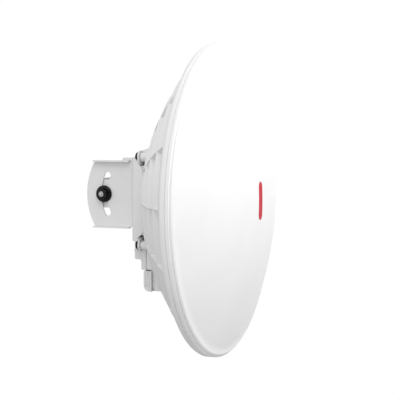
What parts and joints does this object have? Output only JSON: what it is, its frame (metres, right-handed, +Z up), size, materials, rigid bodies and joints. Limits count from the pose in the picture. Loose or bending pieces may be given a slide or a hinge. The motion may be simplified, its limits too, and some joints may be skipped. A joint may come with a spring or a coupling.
{
  "type": "outdoor wireless bridge",
  "caption": "Outdoor wireless bridge: a ribbed dish under a bulged radome, a rear electronics housing with a sliding cable door, and a tilting steel mast bracket.",
  "frame": {"origin": "centre of the flat rear face of the mast bracket's web, which rests on the mast", "axes": "+Y out of that face towards the mast, +Z up the mast, and +X level across it; the dish faces -Y"},
  "size_m": [0.4, 0.2209, 0.4],
  "materials": {
    "radome_white": "smooth satin-gloss white, ultraviolet-stable plastic",
    "dish_white": "fine matt moulded white plastic",
    "bracket_paint": "light grey-white powder coat on bent sheet steel",
    "black_fastener": "black coated steel",
    "zinc_steel": "bright zinc plate",
    "brass": "machined brass",
    "black_rubber": "black moulded rubber",
    "circuit_green": "green solder mask",
    "feed_metal": "plain turned aluminium",
    "feed_plastic": "natural low-loss plastic",
    "thermal_pad": "soft grey silicone pad",
    "light_pipe": "clear moulded plastic",
    "button_black": "black moulded plastic"
  },
  "bodies": {
    "mast_side": {"mast_bracket": "bracket_paint", "lock_bolt_left": "zinc_steel", "lock_bolt_right": "zinc_steel", "lock_nut_left": "black_fastener", "lock_nut_right": "black_fastener", "cup_washer_left": "black_fastener", "cup_washer_right": "black_fastener"},
    "head": {"back_plate": "bracket_paint", "board_screw_1": "zinc_steel", "board_screw_2": "zinc_steel", "board_screw_3": "zinc_steel", "board_screw_4": "zinc_steel", "boss_insert_1": "brass", "boss_insert_2": "brass", "boss_insert_3": "brass", "boss_insert_4": "brass", "bracket_bolt_1": "black_fastener", "bracket_bolt_2": "black_fastener", "bracket_bolt_3": "black_fastener", "bracket_bolt_4": "black_fastener", "bracket_washer_1": "black_fastener", "bracket_washer_2": "black_fastener", "bracket_washer_3": "black_fastener", "bracket_washer_4": "black_fastener", "channel_rivet_1": "zinc_steel", "channel_rivet_2": "zinc_steel", "channel_rivet_3": "zinc_steel", "channel_rivet_4": "zinc_steel", "circuit_board": "circuit_green", "cover_gasket": "black_rubber", "cover_screw_1": "zinc_steel", "cover_screw_2": "zinc_steel", "cover_screw_3": "zinc_steel", "cover_screw_4": "zinc_steel", "ethernet_jack": "zinc_steel", "feed_cup": "feed_plastic", "feed_seal": "black_rubber", "feed_tube": "feed_metal", "ground_screw": "zinc_steel", "light_pipe": "light_pipe", "radome": "radome_white", "rear_cover": "dish_white", "reflector_dish": "dish_white", "rf_shield": "zinc_steel", "rim_gasket": "black_rubber", "sub_reflector": "feed_metal", "thermal_pad": "thermal_pad", "wing_channel": "bracket_paint"},
    "cable_door": {"cable_door": "dish_white"},
    "reset_button": {"reset_button": "button_black"}
  },
  "joints": [
    {"name": "tilt", "type": "hinge", "parent": "mast_side", "child": "head", "pos_m": [0, -0.0825, 0], "axis": [1, 0, 0], "range_deg": [-18, 18]},
    {"name": "cable_door_slide", "type": "slide", "parent": "head", "child": "cable_door", "axis": [0, 0, -1], "range_m": [0, 0.03]},
    {"name": "reset_press", "type": "slide", "parent": "head", "child": "reset_button", "axis": [0, 0, 1], "range_m": [0, 0.001], "stiffness_N_per_m": 400, "springref_m": -0.0005}
  ]
}
